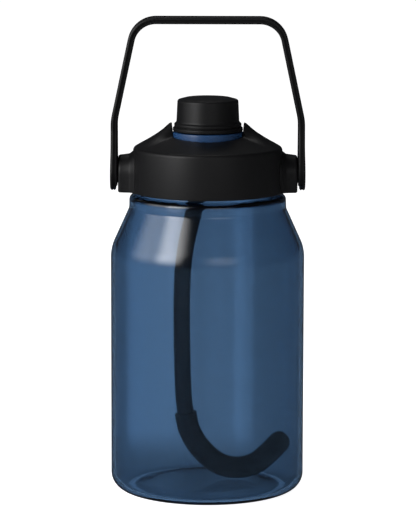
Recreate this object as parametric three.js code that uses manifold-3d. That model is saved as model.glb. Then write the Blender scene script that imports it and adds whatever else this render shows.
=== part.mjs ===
// A large water jug: a blown plastic bottle with a screw lid, a screw cap over a drinking spout, a bail
// handle that swings on the lid's ears, and a soft straw with a curved end inside.
// Millimetres, +Z up. The origin is the centre of the foot. The handle swings about a line along X.
import * as THREE from "three";
import { mergeVertices } from "three/addons/utils/BufferGeometryUtils.js";
import Module from "manifold-3d";

const wasm = await Module();
wasm.setup();

// ---- Driving dimensions --------------------------------------------------------------------------------

const GAP = 0.3; // between pieces that touch on the real object
const ROUND_SEGMENTS = 36; // facets of the large round pieces
const SMALL_SEGMENTS = 28; // facets of the spout, the cap and their rings

// Bottle body.
const BODY_R = 62.5;
const WALL = 2.6;
const FOOT_R = 50.3; // outer edge of the flat foot, where the corner's arc starts
const FOOT_INNER_R = 44.5;
const UNDERSIDE_Z = 3.4; // height of the hollow under the base at its centre
const FLOOR_Z = 5.9; // inner floor
const SHOULDER_Z = 153.2; // top of the straight wall
const SHOULDER_R = 26; // radius of the arc from the wall to the cone
const CONE_ANGLE = THREE.MathUtils.degToRad(23); // cone of the shoulder, from the vertical
const COLLAR_R = 50.6;
const COLLAR_FOOT_Z = 185.2;
const COLLAR_CORNER = 3; // rounding of the collar's top edge
const COLLAR_TOP_Z = 193.6;

// Neck and its thread, which the lid's liner shares.
const NECK_R = 42.9;
const NECK_BORE_R = 40.5;
const NECK_TOP_Z = 216.8;
const NECK_THREAD = {
  pitch: 4.5,
  height: 1.3,
  rootHalf: 1.4, // half width at the wall
  crestHalf: 0.5,
  startZ: 200.5,
  turns: 2,
  stepsPerTurn: 32,
};
const THREAD_CLEARANCE = 0.4;

// Lid.
const SKIRT_FOOT_Z = 195.8;
const SKIRT_FOOT_R = 49.5;
const SKIRT_TOP_R = 48.2;
const SKIRT_TOP_Z = 221.8;
const SHELL_WALL = 2.2;
const SHELL_BORE_R = 46.4;
const CROWN_R = 46.1; // where the rounded top edge of the skirt meets the cone
const CROWN_Z = 225.2;
const MOUTH_R = 23.15; // hole that the spout stands in
const FRONT_RIM_Z = 230.5; // rim of the mouth at the front and back
const PEAK_R = 24.2; // crest of the two side ridges
const PEAK_Z = 240.6;
const RIDGE_HALF_WIDTH = 8; // of a ridge beside the mouth
const RIDGE_SPREAD = 0.95; // how fast the ridge widens outwards
const RIM_RISE = 1.6; // how much higher the mouth's rim is at the sides, between the ridges' feet
const LEDGE_R = 20.7; // inner edge of the ledge under the spout's ring
const LEDGE_Z = 228.3;
const LEDGE_THICKNESS = 2.1;

// Ears and the handle's pivots.
const PIVOT_Z = 207.8;
const EAR_X = 57.8;
const EAR_R = 11.7; // half width, and radius of the round top
const EAR_FOOT_Z = 196;
const EAR_WALL = 2.2;
const EAR_RECESS = { r: 8.1, depth: 1.2 };
const PIN = { r: 3, headR: 5.2, headFrom: 52, headTo: 53.7, tip: 61 };
const WASHER = { r: 7.7, boreR: 3.4, from: 56.9, to: 57.7 };

// Handle.
const ARM_OUTER_X = 62.6;
const ARM_THICKNESS = 4.5;
const PADDLE_OUTER_X = 63;
const PADDLE_R = 11.5;
const PADDLE_TOP_Z = 236;
const HUB_R = 7.5;
const HANDLE_WIDTH = 15;
const HANDLE_TOP_Z = 308.6;
const KINK_Z = 242;
const KINK_R = 30;
const LEAN = THREE.MathUtils.degToRad(12); // of the arms above the kink
const GRIP_CORNER_R = 18.5;
const EDGE_ROUND = 1.3;

// Liner of the lid, with its gasket and vent.
const LINER_R = 46;
const LINER_FOOT_Z = 197;
const LINER_TOP_Z = 220.6;
const CEILING_Z = 218.8; // underside of the liner's ceiling
const VENT = { x: -21.2, y: 21.2, boreR: 1.8 };

// Spout, which holds the cap's thread, and its lock ring.
const SPOUT_RING_R = 22.8;
const SPOUT_RING_TOP_Z = 234.5;
const SPOUT_STEM_R = 20.4;
const SPOUT_STEM_FOOT_Z = 212.8;
const SPOUT_TUBE_R = 14.8;
const SPOUT_BORE_R = 12.3;
const SPOUT_TOP_Z = 250.1;
const SPOUT_FLOOR_Z = 224.4;
const SPOUT_FLOOR_THICKNESS = 2.6;
const SPOUT_HOLE_R = 4.6;
const SPOUT_THREAD = {
  pitch: 3.6,
  height: 1.1,
  rootHalf: 1.1,
  crestHalf: 0.4,
  startZ: 240.4,
  turns: 1.75,
  stepsPerTurn: 20,
};
const LOCK_RING = { r: 26, footZ: 213.2, topZ: 216.2, notches: 6, notchDepth: 1.6, notchWidth: 4 };
const SPOUT_GASKET = { r: 25, footZ: 216.5, topZ: 218.5 };

// Cap.
const CAP_TOP_Z = 257.2; // middle of its low dome
const CAP_TOP_R = 19.6;
const CAP_SHOULDER_Z = 254; // where the straight wall turns into the dome
const CAP_WALL_R = 20.3; // at the foot of the straight wall
const CAP_BORE_R = 17.8;
const CAP_CEILING_Z = 254.2; // underside of the shell's top
const CAP_LIP = { r: 21.7, footZ: 237.9, topZ: 240.2 };
const CAP_FLANGE = { r: 22.6, footZ: 235.1, topZ: 237.4 };
const CAP_GROOVE_R = 21;
const CAP_LINER_R = 17.5;
const CAP_LINER_FOOT_Z = 238.6;
const CAP_LINER_ROOF = 1.7;

// Straw: a soft tube, its curved sleeve and the connector it hangs on.
const STRAW_R = 5.4;
const STRAW_BORE_R = 3.9;
const STRAW_LENGTH = 190;
const SLEEVE_R = 6.75;
const SLEEVE_BORE_R = 4.2;
const SLEEVE_OVERLAP = 18; // how far the straw reaches into the sleeve
const STRAW_SIDES = 10;
const NIPPLE_FOOT_Z = 213.6;

// Middle line of the straw and its sleeve in the XZ plane, from the connector to the middle of the nose.
const STRAW_ROUTE = [
  [0, 219.5],
  [0, 216],
  [0, 212.5],
  [-1.7, 205.5],
  [-4.9, 196.5],
  [-8.2, 185.2],
  [-11, 173.5],
  [-13.8, 160.7],
  [-15.7, 147.2],
  [-16.5, 133.4],
  [-16.7, 111],
  [-16.3, 85],
  [-15.5, 62],
  [-14.3, 51],
  [-11.4, 37.6],
  [-3.1, 25.3],
  [8.6, 16.1],
  [20.6, 13.5],
  [32.3, 16.7],
  [41.5, 23.9],
  [48, 30.8],
];

// ---- Helpers -------------------------------------------------------------------------------------------

// A closed geometry as a solid that can be joined and cut.
function solidOf(geometry) {
  const bare = geometry.clone();
  bare.deleteAttribute("normal");
  bare.deleteAttribute("uv");
  const merged = mergeVertices(bare, 1e-4);
  return new wasm.Manifold(
    new wasm.Mesh({
      numProp: 3,
      vertProperties: merged.attributes.position.array,
      triVerts: new Uint32Array(merged.index.array),
    }),
  );
}

function geometryOf(solid) {
  const mesh = solid.getMesh();
  const geometry = new THREE.BufferGeometry();
  geometry.setAttribute("position", new THREE.BufferAttribute(mesh.vertProperties, 3));
  geometry.setIndex(new THREE.BufferAttribute(mesh.triVerts, 1));
  geometry.computeVertexNormals();
  return geometry;
}

function join(...geometries) {
  return geometryOf(geometries.map(solidOf).reduce((sum, solid) => sum.add(solid)));
}

function cut(geometry, ...tools) {
  return geometryOf(tools.map(solidOf).reduce((left, tool) => left.subtract(tool), solidOf(geometry)));
}

// Points [x, y] of an arc, angles in degrees, both ends included.
function arc(centreX, centreY, radius, fromDegrees, toDegrees, steps) {
  const points = [];
  for (let i = 0; i <= steps; i++) {
    const angle = THREE.MathUtils.degToRad(fromDegrees + ((toDegrees - fromDegrees) * i) / steps);
    points.push([centreX + radius * Math.cos(angle), centreY + radius * Math.sin(angle)]);
  }
  return points;
}

// Turns an outline of [radius, z] points, listed anticlockwise, about the Z axis.
function revolve(outline, segments) {
  const onAxis = outline[0][0] === 0;
  const closed = onAxis ? outline : [...outline, outline[0]];
  const points = closed.map(([r, z]) => new THREE.Vector2(r, z));
  return new THREE.LatheGeometry(points, segments).rotateX(Math.PI / 2);
}

// A plain ring of rectangular section.
function ring(innerR, outerR, footZ, topZ, segments) {
  return revolve([[innerR, footZ], [outerR, footZ], [outerR, topZ], [innerR, topZ]], segments);
}

// A plain upright cylinder.
function disc(radius, footZ, topZ, segments) {
  return revolve([[0, footZ], [radius, footZ], [radius, topZ], [0, topZ]], segments);
}

// Joins equal loops of points into a closed skin. With wrap, the last loop meets the first; without it,
// both ends are capped.
function skin(loops, wrap) {
  const size = loops[0].length;
  const index = [];
  const last = wrap ? loops.length : loops.length - 1;
  for (let i = 0; i < last; i++) {
    const here = i * size;
    const next = ((i + 1) % loops.length) * size;
    for (let j = 0; j < size; j++) {
      const k = (j + 1) % size;
      index.push(here + j, here + k, next + k, here + j, next + k, next + j);
    }
  }
  if (!wrap) {
    const end = (loops.length - 1) * size;
    for (let j = 1; j < size - 1; j++) {
      index.push(0, j + 1, j, end, end + j, end + j + 1);
    }
  }
  const geometry = new THREE.BufferGeometry();
  const positions = loops.flat().flatMap((point) => point.toArray());
  geometry.setAttribute("position", new THREE.Float32BufferAttribute(positions, 3));
  geometry.setIndex(index);
  geometry.computeVertexNormals();
  return geometry;
}

// A right-handed helical ridge. Its root sits at rootR and its crest at crestR, and it fades in and out
// over a fifth of a turn at each end.
function helix(thread, rootR, crestR, startZ, turns) {
  const fadeTurns = 0.2;
  const steps = Math.round(turns * thread.stepsPerTurn);
  const sink = Math.sign(rootR - crestR) * 0.5; // the root reaches into the wall that carries it
  const outward = crestR > rootR;
  const loops = [];
  for (let i = 0; i <= steps; i++) {
    const turn = (turns * i) / steps;
    const angle = turn * 2 * Math.PI;
    const z = startZ + thread.pitch * turn;
    const grown = Math.min(1, turn / fadeTurns, (turns - turn) / fadeTurns) * 0.9 + 0.1;
    const crest = rootR + (crestR - rootR) * grown;
    const section = [
      [rootR + sink, z + thread.rootHalf],
      [crest, z + thread.crestHalf],
      [crest, z - thread.crestHalf],
      [rootR + sink, z - thread.rootHalf],
    ];
    const ordered = outward ? section : section.reverse();
    loops.push(ordered.map(([r, h]) => new THREE.Vector3(r * Math.cos(angle), r * Math.sin(angle), h)));
  }
  return skin(loops, false);
}

// A flat shape, drawn in Y and Z, pushed along X from one x to another.
function alongX(shape, fromX, toX, curveSegments) {
  const geometry = new THREE.ExtrudeGeometry(shape, {
    depth: toX - fromX,
    bevelEnabled: false,
    curveSegments,
  });
  const turn = new THREE.Matrix4().makeBasis(
    new THREE.Vector3(0, 1, 0),
    new THREE.Vector3(0, 0, 1),
    new THREE.Vector3(1, 0, 0),
  );
  return geometry.applyMatrix4(turn).translate(fromX, 0, 0);
}

// A round rod along X through the handle's pivots.
function rodAlongX(radius, fromX, toX, segments) {
  return disc(radius, fromX, toX, segments)
    .rotateY(Math.PI / 2)
    .translate(0, 0, PIVOT_Z);
}

// The stretch of a curve between two lengths along it.
class Stretch extends THREE.Curve {
  constructor(curve, from, to) {
    super();
    this.curve = curve;
    this.from = from / curve.getLength();
    this.to = to / curve.getLength();
  }

  getPoint(t, target = new THREE.Vector3()) {
    return this.curve.getPointAt(Math.min(1, this.from + (this.to - this.from) * t), target);
  }
}

// A rod or, with a bore, a tube along a curve.
function tube(curve, radius, boreR, steps) {
  const shape = new THREE.Shape().absarc(0, 0, radius, 0, 2 * Math.PI);
  if (boreR) {
    shape.holes.push(new THREE.Path().absarc(0, 0, boreR, 0, 2 * Math.PI, true));
  }
  return new THREE.ExtrudeGeometry(shape, {
    steps,
    curveSegments: STRAW_SIDES / 2,
    extrudePath: curve,
    bevelEnabled: false,
  });
}

// ---- Bottle --------------------------------------------------------------------------------------------

function bottleBody() {
  const cornerR = BODY_R - FOOT_R;
  const coneStartR = BODY_R - SHOULDER_R * (1 - Math.cos(CONE_ANGLE));
  const coneStartZ = SHOULDER_Z + SHOULDER_R * Math.sin(CONE_ANGLE);
  const coneR = (z) => coneStartR - (z - coneStartZ) * Math.tan(CONE_ANGLE);
  const shoulderDegrees = THREE.MathUtils.radToDeg(CONE_ANGLE);
  const collarArcR = COLLAR_R - COLLAR_CORNER;
  const innerCornerR = 9.5;
  const innerR = BODY_R - WALL;
  const outline = [
    [0, UNDERSIDE_Z],
    [36, UNDERSIDE_Z - 0.6],
    [FOOT_INNER_R, 0],
    ...arc(FOOT_R, cornerR, cornerR, -90, 0, 4),
    ...arc(BODY_R - SHOULDER_R, SHOULDER_Z, SHOULDER_R, 0, shoulderDegrees, 3),
    [coneR(COLLAR_FOOT_Z - 1.6), COLLAR_FOOT_Z - 1.6],
    [COLLAR_R, COLLAR_FOOT_Z + 1],
    ...arc(collarArcR, COLLAR_TOP_Z - COLLAR_CORNER, COLLAR_CORNER, 0, 90, 2),
    [NECK_R, COLLAR_TOP_Z + 0.2],
    [NECK_R, NECK_TOP_Z - 0.6],
    [NECK_R - 0.6, NECK_TOP_Z],
    [NECK_BORE_R + 0.6, NECK_TOP_Z],
    [NECK_BORE_R, NECK_TOP_Z - 0.6],
    [NECK_BORE_R, COLLAR_TOP_Z - 0.6],
    [NECK_BORE_R + 1.6, COLLAR_TOP_Z - WALL],
    [COLLAR_R - WALL - 1.6, COLLAR_TOP_Z - WALL - 0.4],
    [COLLAR_R - WALL, COLLAR_TOP_Z - WALL - 2.4],
    [COLLAR_R - WALL, COLLAR_FOOT_Z],
    [coneStartR - WALL, coneStartZ - 0.6],
    [innerR, SHOULDER_Z - 0.6],
    ...arc(innerR - innerCornerR, FLOOR_Z - 0.5 + innerCornerR, innerCornerR, 0, -90, 3),
    [0, FLOOR_Z + 0.1],
  ];
  const thread = NECK_THREAD;
  const ridge = helix(thread, NECK_R, NECK_R + thread.height, thread.startZ, thread.turns);
  return join(revolve(outline, ROUND_SEGMENTS), ridge);
}

// ---- Lid -----------------------------------------------------------------------------------------------

// Height of the lid's top along the ridges and at the front, at a radius: straight stretches between
// [radius, z] stops.
const RIDGE_LINE = [
  [PEAK_R, PEAK_Z],
  [25.8, 239.1],
  [28.7, 236.5],
  [34.1, 232.6],
  [38.9, 229.6],
  [43, 227.2],
  [CROWN_R, CROWN_Z],
];
const FRONT_LINE = [
  [MOUTH_R, FRONT_RIM_Z],
  [28, 229],
  [36, 227],
  [CROWN_R, CROWN_Z],
];

function heightOn(line, radius) {
  if (radius <= line[0][0]) {
    return line[0][1];
  }
  const next = line.findIndex(([r]) => r >= radius);
  const [r0, z0] = line[next - 1];
  const [r1, z1] = line[next];
  return z0 + ((z1 - z0) * (radius - r0)) / (r1 - r0);
}

// Height of the lid's top: a shallow cone whose mouth is a little higher at the sides, with a ridge along X
// on each side that widens outwards.
function crownHeight(radius, angle) {
  const along = Math.abs(radius * Math.cos(angle));
  const aside = Math.abs(radius * Math.sin(angle));
  const halfWidth = Math.max(0.1, RIDGE_HALF_WIDTH + RIDGE_SPREAD * (along - MOUTH_R));
  const share = Math.min(1, aside / halfWidth);
  const bump = (1 + Math.cos(Math.PI * share)) / 2;
  const inwards = Math.min(1, Math.max(0, (CROWN_R - radius) / (CROWN_R - MOUTH_R)));
  const front = heightOn(FRONT_LINE, radius) + RIM_RISE * Math.cos(angle) ** 2 * inwards;
  return front + (heightOn(RIDGE_LINE, radius) - front) * bump;
}

// The lid's section at one angle, listed anticlockwise.
function shellSection(angle) {
  const topRadii = [43, 38.9, 34.1, 28.7, 25.8, PEAK_R];
  const innerRadii = [25.4, 28.7, 34.1, 38.9, 43];
  const mouthWallR = MOUTH_R + 2;
  return [
    [SHELL_BORE_R, SKIRT_FOOT_Z],
    [SKIRT_FOOT_R - 0.5, SKIRT_FOOT_Z],
    [SKIRT_FOOT_R, SKIRT_FOOT_Z + 0.5],
    [SKIRT_TOP_R, SKIRT_TOP_Z],
    [SKIRT_TOP_R - 0.6, CROWN_Z - 1.3],
    [CROWN_R, CROWN_Z],
    ...topRadii.map((r) => [r, crownHeight(r, angle)]),
    [MOUTH_R, crownHeight(MOUTH_R, angle) - 0.3],
    [MOUTH_R, LEDGE_Z],
    [LEDGE_R, LEDGE_Z],
    [LEDGE_R, LEDGE_Z - LEDGE_THICKNESS],
    [mouthWallR, LEDGE_Z - LEDGE_THICKNESS],
    ...innerRadii.map((r) => [r, crownHeight(r, angle) - SHELL_WALL]),
    [SHELL_BORE_R, CROWN_Z - SHELL_WALL - 0.4],
  ];
}

// Outline of an ear in Y and Z: a round top on straight sides, shrunk by inset.
function earShape(inset, footZ) {
  const shape = new THREE.Shape();
  const r = EAR_R - inset;
  shape.moveTo(-r, footZ);
  shape.lineTo(r, footZ);
  shape.absarc(0, PIVOT_Z, r, 0, Math.PI);
  return shape;
}

function lidShell() {
  // Degrees from the X axis in each quarter, closer together across the ridges.
  const quarter = [0, 5, 10, 16, 23, 31, 42, 54, 66, 78];
  const loops = [];
  for (let turn = 3; turn >= 0; turn--) {
    // Odd quarters run back to the X axis, so their steps are mirrored.
    const steps = turn % 2 ? quarter.map((step) => 90 - step) : [...quarter, 90].reverse().slice(0, -1);
    for (const step of steps) {
      const angle = THREE.MathUtils.degToRad(turn * 90 + step);
      const section = shellSection(angle);
      loops.push(section.map(([r, z]) => new THREE.Vector3(r * Math.cos(angle), r * Math.sin(angle), z)));
    }
  }
  const shell = skin(loops, true);
  const earStartX = 46.9; // inside the skirt's wall
  const ears = [alongX(earShape(0, EAR_FOOT_Z), earStartX, EAR_X, 10)];
  ears.push(alongX(earShape(0, EAR_FOOT_Z), -EAR_X, -earStartX, 10));
  const tools = [];
  for (const side of [1, -1]) {
    const span = (from, to) => [side * from, side * to].sort((a, b) => a - b);
    const pocket = span(SHELL_BORE_R - 3, EAR_X - 1.6 - EAR_WALL);
    tools.push(alongX(earShape(EAR_WALL, EAR_FOOT_Z - 1), ...pocket, 8));
    tools.push(rodAlongX(EAR_RECESS.r, ...span(EAR_X - EAR_RECESS.depth, EAR_X + 1), 20));
    tools.push(rodAlongX(PIN.r + GAP, ...span(EAR_X - 8, EAR_X + 1), 16));
  }
  return cut(join(shell, ...ears), ...tools);
}

function lidLiner() {
  const thread = NECK_THREAD;
  const boreR = NECK_R + thread.height + THREAD_CLEARANCE;
  const outline = [
    [boreR, LINER_FOOT_Z],
    [LINER_R, LINER_FOOT_Z],
    [LINER_R, LINER_TOP_Z - 0.6],
    [LINER_R - 0.6, LINER_TOP_Z],
    [LEDGE_R, LINER_TOP_Z],
    [LEDGE_R, CEILING_Z],
    [boreR, CEILING_Z],
  ];
  const ridge = helix(thread, boreR, NECK_R + THREAD_CLEARANCE, thread.startZ + thread.pitch / 2, 1.5);
  const vent = disc(VENT.boreR, CEILING_Z - 1, LINER_TOP_Z + 1, 12).translate(VENT.x, VENT.y, 0);
  return cut(join(revolve(outline, ROUND_SEGMENTS), ridge), vent);
}

// Silicone ring between the liner's ceiling and the neck's rim.
function lidGasket() {
  const footZ = NECK_TOP_Z + GAP;
  const topZ = CEILING_Z - GAP;
  return ring(NECK_BORE_R - 0.4, NECK_R + 1.2, footZ, topZ, ROUND_SEGMENTS);
}

// Umbrella valve: a skirt under the ceiling, a stem through it and a bulb on top.
function ventValve() {
  const stemR = VENT.boreR - GAP;
  const outline = [
    [0, CEILING_Z - 1.6],
    [1.8, CEILING_Z - 1.5],
    [4.2, CEILING_Z - 0.9],
    [4.2, CEILING_Z - GAP],
    [stemR, CEILING_Z - GAP],
    [stemR, LINER_TOP_Z + GAP],
    [2.3, LINER_TOP_Z + 0.7],
    [1, LINER_TOP_Z + 2],
    [0, LINER_TOP_Z + 2],
  ];
  return revolve(outline, 12);
}

// ---- Spout ---------------------------------------------------------------------------------------------

function spout() {
  const pocketR = SPOUT_STEM_R - 2.4;
  const pocketTopZ = SPOUT_RING_TOP_Z - 2.7;
  const floorFootZ = SPOUT_FLOOR_Z - SPOUT_FLOOR_THICKNESS;
  const ringFootZ = LEDGE_Z + GAP;
  const edge = 0.7;
  const outline = [
    [SPOUT_HOLE_R, floorFootZ],
    [SPOUT_TUBE_R, floorFootZ],
    [SPOUT_TUBE_R, pocketTopZ],
    [pocketR, pocketTopZ],
    [pocketR, SPOUT_STEM_FOOT_Z],
    [SPOUT_STEM_R, SPOUT_STEM_FOOT_Z],
    [SPOUT_STEM_R, ringFootZ],
    [SPOUT_RING_R, ringFootZ],
    [SPOUT_RING_R, SPOUT_RING_TOP_Z - edge],
    [SPOUT_RING_R - edge, SPOUT_RING_TOP_Z],
    [SPOUT_TUBE_R, SPOUT_RING_TOP_Z],
    [SPOUT_TUBE_R, SPOUT_TOP_Z - edge],
    [SPOUT_TUBE_R - edge, SPOUT_TOP_Z],
    [SPOUT_BORE_R + edge, SPOUT_TOP_Z],
    [SPOUT_BORE_R, SPOUT_TOP_Z - edge],
    [SPOUT_BORE_R, SPOUT_FLOOR_Z],
    [SPOUT_HOLE_R, SPOUT_FLOOR_Z],
  ];
  const thread = SPOUT_THREAD;
  const ridge = helix(thread, SPOUT_TUBE_R, SPOUT_TUBE_R + thread.height, thread.startZ, thread.turns);
  return join(revolve(outline, SMALL_SEGMENTS), ridge);
}

// The ring that clamps the spout to the liner from below, notched for a spanner.
function spoutLockRing() {
  const { r, footZ, topZ, notches, notchDepth, notchWidth } = LOCK_RING;
  const tools = [];
  for (let i = 0; i < notches; i++) {
    const notch = new THREE.BoxGeometry(2 * notchDepth, notchWidth, topZ - footZ + 2);
    tools.push(notch.translate(r, 0, (footZ + topZ) / 2).rotateZ((2 * Math.PI * i) / notches));
  }
  return cut(ring(LEDGE_R, r, footZ, topZ, SMALL_SEGMENTS), ...tools);
}

function spoutGasket() {
  return ring(LEDGE_R, SPOUT_GASKET.r, SPOUT_GASKET.footZ, SPOUT_GASKET.topZ, SMALL_SEGMENTS);
}

// ---- Cap -----------------------------------------------------------------------------------------------

function capShell() {
  const outline = [
    [CAP_BORE_R, CAP_FLANGE.footZ],
    [CAP_FLANGE.r - 0.4, CAP_FLANGE.footZ],
    [CAP_FLANGE.r, CAP_FLANGE.footZ + 0.5],
    [CAP_FLANGE.r, CAP_FLANGE.topZ - 0.5],
    [CAP_FLANGE.r - 0.5, CAP_FLANGE.topZ],
    [CAP_GROOVE_R, CAP_FLANGE.topZ],
    [CAP_GROOVE_R, CAP_LIP.footZ],
    [CAP_LIP.r, CAP_LIP.footZ + 0.4],
    [CAP_LIP.r, CAP_LIP.topZ - 0.8],
    [CAP_WALL_R, CAP_LIP.topZ + 0.5],
    [CAP_TOP_R, CAP_SHOULDER_Z],
    [CAP_TOP_R - 0.4, CAP_SHOULDER_Z + 0.9],
    [CAP_TOP_R - 1.4, CAP_SHOULDER_Z + 1.5],
    [CAP_TOP_R / 2, CAP_TOP_Z - 0.4],
    [0, CAP_TOP_Z],
    [0, CAP_CEILING_Z],
    [CAP_BORE_R, CAP_CEILING_Z],
  ];
  // Listed from the axis outwards along the inside, so that both ends lie on the axis.
  return revolve([...outline.slice(-2), ...outline.slice(0, -2)], SMALL_SEGMENTS);
}

function capLiner() {
  const thread = SPOUT_THREAD;
  const boreR = SPOUT_TUBE_R + thread.height + THREAD_CLEARANCE;
  const topZ = CAP_CEILING_Z - GAP;
  const outline = [
    [0, topZ - CAP_LINER_ROOF],
    [boreR, topZ - CAP_LINER_ROOF],
    [boreR, CAP_LINER_FOOT_Z],
    [CAP_LINER_R, CAP_LINER_FOOT_Z],
    [CAP_LINER_R, topZ - 0.5],
    [CAP_LINER_R - 0.5, topZ],
    [0, topZ],
  ];
  const crestR = SPOUT_TUBE_R + THREAD_CLEARANCE;
  const ridge = helix(thread, boreR, crestR, thread.startZ + thread.pitch / 2, 1.25);
  return join(revolve(outline, SMALL_SEGMENTS), ridge);
}

function capGasket() {
  const topZ = CAP_CEILING_Z - CAP_LINER_ROOF - 2 * GAP;
  return ring(SPOUT_BORE_R - 2, SPOUT_TUBE_R + 0.7, SPOUT_TOP_Z + GAP, topZ, SMALL_SEGMENTS);
}

// ---- Handle --------------------------------------------------------------------------------------------

// One side of the bail in X and Z, from the pivot up to the middle of the grip, at a depth inside its
// outer edge.
function bailSide(depth) {
  const lean = THREE.MathUtils.radToDeg(LEAN);
  const kinkCentreX = ARM_OUTER_X - KINK_R;
  const kinkStartZ = KINK_Z - KINK_R * Math.tan(LEAN / 2);
  // The grip's corner touches both the leaning arm and the top.
  const cornerZ = HANDLE_TOP_Z - GRIP_CORNER_R;
  const normalX = Math.cos(LEAN);
  const normalZ = Math.sin(LEAN);
  const armDistance = ARM_OUTER_X * normalX + KINK_Z * normalZ;
  const cornerX = (armDistance - GRIP_CORNER_R - cornerZ * normalZ) / normalX;
  return [
    [ARM_OUTER_X - depth, PIVOT_Z],
    ...arc(kinkCentreX, kinkStartZ, KINK_R - depth, 0, lean, 2),
    ...arc(cornerX, cornerZ, GRIP_CORNER_R - depth, lean, 90, 7),
  ];
}

function handle() {
  const outer = bailSide(0);
  const inner = bailSide(ARM_THICKNESS);
  const mirror = (points) => points.map(([x, z]) => [-x, z]).reverse();
  const outline = [...outer, ...mirror(outer), ...mirror(inner).reverse(), ...[...inner].reverse()];
  const bandShape = new THREE.Shape(outline.map(([x, z]) => new THREE.Vector2(x, z)));
  const band = new THREE.ExtrudeGeometry(bandShape, {
    depth: HANDLE_WIDTH - 2 * EDGE_ROUND,
    bevelEnabled: true,
    bevelThickness: EDGE_ROUND,
    bevelSize: EDGE_ROUND,
    bevelOffset: -EDGE_ROUND,
    bevelSegments: 1,
  });
  band.rotateX(Math.PI / 2).translate(0, HANDLE_WIDTH / 2 - EDGE_ROUND, 0);

  // Each arm ends in a round paddle that narrows upwards into the band.
  const halfBand = HANDLE_WIDTH / 2;
  const reach = PADDLE_TOP_Z - PIVOT_Z;
  const distance = Math.hypot(halfBand, reach);
  const tangent = Math.atan2(reach, halfBand) - Math.acos(PADDLE_R / distance);
  const paddle = new THREE.Shape();
  paddle.moveTo(-halfBand, PADDLE_TOP_Z);
  paddle.absarc(0, PIVOT_Z, PADDLE_R, Math.PI - tangent, tangent + 2 * Math.PI, false);
  paddle.lineTo(halfBand, PADDLE_TOP_Z);

  const pieces = [band];
  const holes = [];
  for (const side of [1, -1]) {
    const span = (from, to) => [side * from, side * to].sort((a, b) => a - b);
    pieces.push(alongX(paddle, ...span(ARM_OUTER_X - ARM_THICKNESS, PADDLE_OUTER_X), 14));
    pieces.push(rodAlongX(HUB_R, ...span(EAR_X + GAP, ARM_OUTER_X - 1), 20));
    holes.push(rodAlongX(PIN.r + GAP, ...span(EAR_X, PIN.tip + GAP), 16));
  }
  return cut(join(...pieces), ...holes);
}

// Headed pin: the head sits inside the ear and the shank is pressed into the arm. Local Z is outwards.
function pivotPin() {
  const outline = [
    [0, PIN.headFrom],
    [PIN.headR - 0.4, PIN.headFrom],
    [PIN.headR, PIN.headFrom + 0.4],
    [PIN.headR, PIN.headTo],
    [PIN.r, PIN.headTo],
    [PIN.r, PIN.tip - 0.6],
    [PIN.r - 0.6, PIN.tip],
    [0, PIN.tip],
  ];
  return revolve(outline, 16);
}

function pivotWasher() {
  return ring(WASHER.boreR, WASHER.r, WASHER.from, WASHER.to, 16);
}

// ---- Straw ---------------------------------------------------------------------------------------------

const strawLine = new THREE.CatmullRomCurve3(
  STRAW_ROUTE.map(([x, z]) => new THREE.Vector3(x, 0, z)),
  false,
  "centripetal",
);
const sleeveStart = STRAW_LENGTH - SLEEVE_OVERLAP;
const routeLength = strawLine.getLength();

function strawTube() {
  return tube(new Stretch(strawLine, 0, STRAW_LENGTH), STRAW_R, STRAW_BORE_R, 24);
}

function strawSleeve() {
  const body = tube(new Stretch(strawLine, sleeveStart, routeLength), SLEEVE_R, 0, 14);
  const tip = strawLine.getPointAt(1);
  const heading = strawLine.getTangentAt(1);
  const nose = new THREE.SphereGeometry(SLEEVE_R, STRAW_SIDES, 8).translate(...tip.toArray());
  const socket = tube(new Stretch(strawLine, sleeveStart, STRAW_LENGTH + GAP), STRAW_R + GAP, 0, 5);
  const bore = tube(new Stretch(strawLine, STRAW_LENGTH - 1, routeLength), SLEEVE_BORE_R, 0, 11);
  const inlet = new THREE.LineCurve3(
    tip.clone().addScaledVector(heading, -1),
    tip.clone().addScaledVector(heading, SLEEVE_R + 1),
  );
  return cut(join(body, nose), socket, bore, tube(inlet, SLEEVE_BORE_R, 0, 1));
}

// Hollow swivel: a snap collar above the spout's floor, a flange below it and a nipple for the straw.
function strawConnector() {
  const floorFootZ = SPOUT_FLOOR_Z - SPOUT_FLOOR_THICKNESS;
  const flangeTopZ = floorFootZ - GAP;
  const flangeFootZ = STRAW_ROUTE[0][1] + GAP;
  const boreR = 2.4;
  const nippleR = STRAW_BORE_R - GAP;
  const neckR = SPOUT_HOLE_R - 0.4;
  const snapZ = SPOUT_FLOOR_Z + GAP;
  const outline = [
    [boreR, NIPPLE_FOOT_Z],
    [nippleR - 0.5, NIPPLE_FOOT_Z],
    [nippleR, NIPPLE_FOOT_Z + 1],
    [nippleR, flangeFootZ],
    [7, flangeFootZ],
    [7, flangeTopZ],
    [neckR, flangeTopZ],
    [neckR, snapZ],
    [5.6, snapZ],
    [5.1, snapZ + 1.2],
    [boreR, snapZ + 1.2],
  ];
  return revolve(outline, 16);
}

// ---- Assembly ------------------------------------------------------------------------------------------

const FINISHES = {
  bottle: { color: 0x2b4a70, roughness: 0.08, metalness: 0, transparent: true, opacity: 0.5 },
  blackPlastic: { color: 0x17181a, roughness: 0.42, metalness: 0 },
  spout: { color: 0x14355f, roughness: 0.25, metalness: 0 },
  innerPlastic: { color: 0x1e2023, roughness: 0.5, metalness: 0 },
  silicone: { color: 0x222327, roughness: 0.7, metalness: 0 },
  straw: { color: 0x30343c, roughness: 0.6, metalness: 0 },
};

function piece(name, geometry, finish) {
  const mesh = new THREE.Mesh(geometry, new THREE.MeshStandardMaterial(FINISHES[finish]));
  mesh.name = name;
  return mesh;
}

const cap = new THREE.Group();
cap.add(
  piece("cap_shell", capShell(), "blackPlastic"),
  piece("cap_liner", capLiner(), "innerPlastic"),
  piece("cap_gasket", capGasket(), "silicone"),
);

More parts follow.
